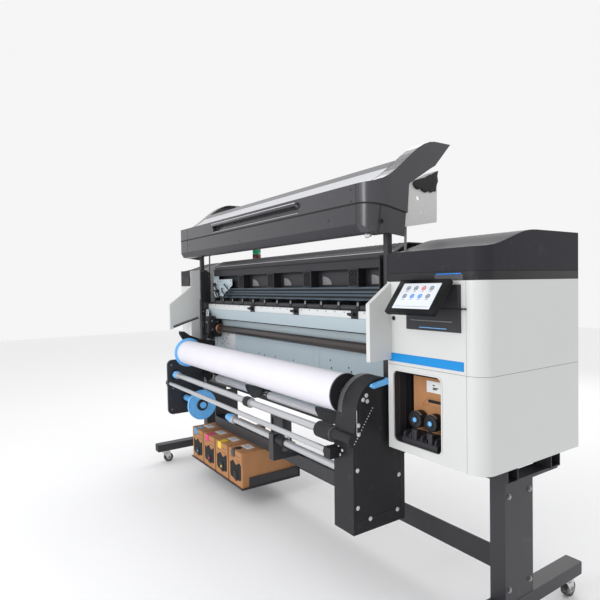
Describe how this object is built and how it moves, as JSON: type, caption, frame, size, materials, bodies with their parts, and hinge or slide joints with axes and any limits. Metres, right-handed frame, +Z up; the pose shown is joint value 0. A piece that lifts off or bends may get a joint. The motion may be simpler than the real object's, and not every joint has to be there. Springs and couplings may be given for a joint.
{
  "type": "large format plotter",
  "caption": "Wide roll-to-roll inkjet printer on a castor stand, with a long raised hood, a cabinet at each end, a tilting touch screen, ink bay and media rollers.",
  "frame": {"origin": "on the floor, under the middle of the overall box with the hood raised", "axes": "+X to the machine's right as seen from its front, +Y to its back, +Z up"},
  "size_m": [2.583, 0.853, 1.797],
  "materials": {
    "white_paint": "satin",
    "hood_plastic": "satin",
    "cover_plastic": "satin",
    "grey_plastic": "matt",
    "black_paint": "satin",
    "sheet_paint": "satin",
    "zinc_sheet": "satin",
    "steel": "brushed",
    "bright_tube": "satin",
    "rail_aluminium": "anodised",
    "platen_aluminium": "satin",
    "black_plastic": "matt",
    "blue_plastic": "gloss",
    "screen_glass": "gloss",
    "roller_rubber": "matt",
    "castor_rubber": "matt",
    "media_paper": "matt",
    "carton_board": "matt",
    "beacon_green": "gloss"
  },
  "bodies": {
    "frame": {"foot_bars": "black_paint", "stand_frame": "black_paint", "side_plates": "zinc_sheet", "frame_beams": "black_paint", "rear_panel": "black_paint", "left_cabinet": "white_paint", "right_cabinet": "white_paint", "top_covers": "cover_plastic", "cheeks": "white_paint", "ink_bay_liner": "black_plastic", "screen_bracket": "black_plastic", "beam_cover": "grey_plastic", "fascia": "grey_plastic", "air_modules": "black_plastic", "carriage_rail": "rail_aluminium", "carriage_belt": "roller_rubber", "platen": "platen_aluminium", "edge_holders": "black_plastic", "media_panel": "sheet_paint", "diverter_brackets": "black_plastic", "support_plate": "black_paint", "drive_housing": "black_plastic", "front_bar": "bright_tube", "takeup_beam": "black_paint", "ink_rack": "black_paint", "beacon": "beacon_green", "lift_guides": "black_paint"},
    "lift": {"lift_posts": "steel"},
    "hood": {"hood_upper": "hood_plastic", "hood_lower": "hood_plastic", "hood_handle": "hood_plastic", "hood_brackets": "zinc_sheet"},
    "strut_cylinder": {"strut_cylinders": "black_paint"},
    "strut_rod": {"strut_rods": "steel"},
    "screen": {"touch_screen": "screen_glass"},
    "button": {"power_button": "black_plastic"},
    "carriage": {"carriage": "black_plastic"},
    "feed_roller": {"feed_roller": "steel"},
    "pinch_rollers": {"pinch_rollers": "roller_rubber"},
    "diverter": {"diverter_tube": "roller_rubber"},
    "guide_rollers": {"exit_rollers": "bright_tube"},
    "supply_roll": {"media_roll": "media_paper", "media_flanges": "blue_plastic"},
    "takeup_left": {"takeup_flange": "blue_plastic"},
    "takeup_right": {"takeup_core": "bright_tube"},
    "upper_roller": {"upper_roller": "bright_tube"},
    "lever": {"lock_lever": "blue_plastic"},
    "bay_carton": {"bay_carton": "carton_board"},
    "carton_1": {"ink_carton_1": "carton_board"},
    "carton_2": {"ink_carton_2": "carton_board"},
    "carton_3": {"ink_carton_3": "carton_board"},
    "carton_4": {"ink_carton_4": "carton_board"},
    "swivel_1": {"castor_fork_1": "zinc_sheet"},
    "wheel_1": {"castor_wheel_1": "castor_rubber"},
    "swivel_2": {"castor_fork_2": "zinc_sheet"},
    "wheel_2": {"castor_wheel_2": "castor_rubber"},
    "swivel_3": {"castor_fork_3": "zinc_sheet"},
    "wheel_3": {"castor_wheel_3": "castor_rubber"},
    "swivel_4": {"castor_fork_4": "zinc_sheet"},
    "wheel_4": {"castor_wheel_4": "castor_rubber"}
  },
  "joints": [
    {"name": "hood_lift", "type": "slide", "parent": "frame", "child": "lift", "axis": [0, 0, 1], "range_m": [-0.285, 0]},
    {"name": "hood_pitch", "type": "hinge", "parent": "lift", "child": "hood", "pos_m": [-0.1, -0.155, 1.45], "axis": [1, 0, 0], "range_deg": [-17.01, 0]},
    {"name": "strut_swing", "type": "hinge", "parent": "frame", "child": "strut_cylinder", "pos_m": [-0.1, -0.1, 0.88], "axis": [1, 0, 0], "range_deg": [-6.89, 0]},
    {"name": "strut_slide", "type": "slide", "parent": "strut_cylinder", "child": "strut_rod", "axis": [0, 0.0278, 0.9996], "range_m": [-0.3095, 0]},
    {"name": "screen_tilt", "type": "hinge", "parent": "frame", "child": "screen", "pos_m": [1.086, -0.234, 1.221], "axis": [1, 0, 0], "range_deg": [-25, 34]},
    {"name": "power_press", "type": "slide", "parent": "frame", "child": "button", "axis": [0, 1, 0], "range_m": [0, 0.002], "stiffness_N_per_m": 400},
    {"name": "carriage_travel", "type": "slide", "parent": "frame", "child": "carriage", "axis": [-1, 0, 0], "range_m": [0, 1.5]},
    {"name": "feed_turn", "type": "hinge", "parent": "frame", "child": "feed_roller", "pos_m": [-0.1, -0.1, 1.092], "axis": [1, 0, 0], "continuous": true},
    {"name": "pinch_turn", "type": "hinge", "parent": "frame", "child": "pinch_rollers", "pos_m": [-0.1, -0.1, 1.1223], "axis": [1, 0, 0], "continuous": true},
    {"name": "diverter_turn", "type": "hinge", "parent": "frame", "child": "diverter", "pos_m": [-0.1, -0.098, 0.947], "axis": [1, 0, 0], "continuous": true},
    {"name": "guide_turn", "type": "hinge", "parent": "frame", "child": "guide_rollers", "pos_m": [-0.1, -0.13, 0.615], "axis": [1, 0, 0], "continuous": true},
    {"name": "supply_turn", "type": "hinge", "parent": "frame", "child": "supply_roll", "pos_m": [-0.1, -0.312, 0.8], "axis": [1, 0, 0], "continuous": true},
    {"name": "takeup_left_turn", "type": "hinge", "parent": "frame", "child": "takeup_left", "pos_m": [-0.9, -0.3, 0.487], "axis": [1, 0, 0], "continuous": true},
    {"name": "takeup_right_turn", "type": "hinge", "parent": "frame", "child": "takeup_right", "pos_m": [0.2, -0.3, 0.487], "axis": [1, 0, 0], "continuous": true},
    {"name": "upper_turn", "type": "hinge", "parent": "frame", "child": "upper_roller", "pos_m": [-0.1, -0.375, 0.652], "axis": [1, 0, 0], "continuous": true},
    {"name": "lever_turn", "type": "hinge", "parent": "frame", "child": "lever", "pos_m": [0.857, -0.21, 0.855], "axis": [1, 0, 0], "range_deg": [-70, 0]},
    {"name": "bay_carton_pull", "type": "slide", "parent": "frame", "child": "bay_carton", "axis": [0, -1, 0], "range_m": [0, 0.18]},
    {"name": "carton_pull_1", "type": "slide", "parent": "frame", "child": "carton_1", "axis": [0, -1, 0], "range_m": [0, 0.3]},
    {"name": "carton_pull_2", "type": "slide", "parent": "frame", "child": "carton_2", "axis": [0, -1, 0], "range_m": [0, 0.3]},
    {"name": "carton_pull_3", "type": "slide", "parent": "frame", "child": "carton_3", "axis": [0, -1, 0], "range_m": [0, 0.3]},
    {"name": "carton_pull_4", "type": "slide", "parent": "frame", "child": "carton_4", "axis": [0, -1, 0], "range_m": [0, 0.3]},
    {"name": "swivel_turn_1", "type": "hinge", "parent": "frame", "child": "swivel_1", "pos_m": [-1.228, -0.366, 0.082], "axis": [0, 0, 1], "continuous": true},
    {"name": "wheel_turn_1", "type": "hinge", "parent": "swivel_1", "child": "wheel_1", "pos_m": [-1.228, -0.348, 0.03], "axis": [1, 0, 0], "continuous": true},
    {"name": "swivel_turn_2", "type": "hinge", "parent": "frame", "child": "swivel_2", "pos_m": [-1.228, 0.366, 0.082], "axis": [0, 0, 1], "continuous": true},
    {"name": "wheel_turn_2", "type": "hinge", "parent": "swivel_2", "child": "wheel_2", "pos_m": [-1.228, 0.384, 0.03], "axis": [1, 0, 0], "continuous": true},
    {"name": "swivel_turn_3", "type": "hinge", "parent": "frame", "child": "swivel_3", "pos_m": [1.228, -0.366, 0.082], "axis": [0, 0, 1], "continuous": true},
    {"name": "wheel_turn_3", "type": "hinge", "parent": "swivel_3", "child": "wheel_3", "pos_m": [1.228, -0.348, 0.03], "axis": [1, 0, 0], "continuous": true},
    {"name": "swivel_turn_4", "type": "hinge", "parent": "frame", "child": "swivel_4", "pos_m": [1.228, 0.366, 0.082], "axis": [0, 0, 1], "continuous": true},
    {"name": "wheel_turn_4", "type": "hinge", "parent": "swivel_4", "child": "wheel_4", "pos_m": [1.228, 0.384, 0.03], "axis": [1, 0, 0], "continuous": true}
  ],
  "couplings": [
    {"joint": "hood_pitch", "follows": "hood_lift", "rad_per_m": 1.0411},
    {"joint": "strut_swing", "follows": "hood_lift", "rad_per_m": 0.42161},
    {"joint": "strut_slide", "follows": "hood_lift", "ratio": 1.0852},
    {"joint": "pinch_turn", "follows": "feed_turn", "ratio": -1.5}
  ]
}
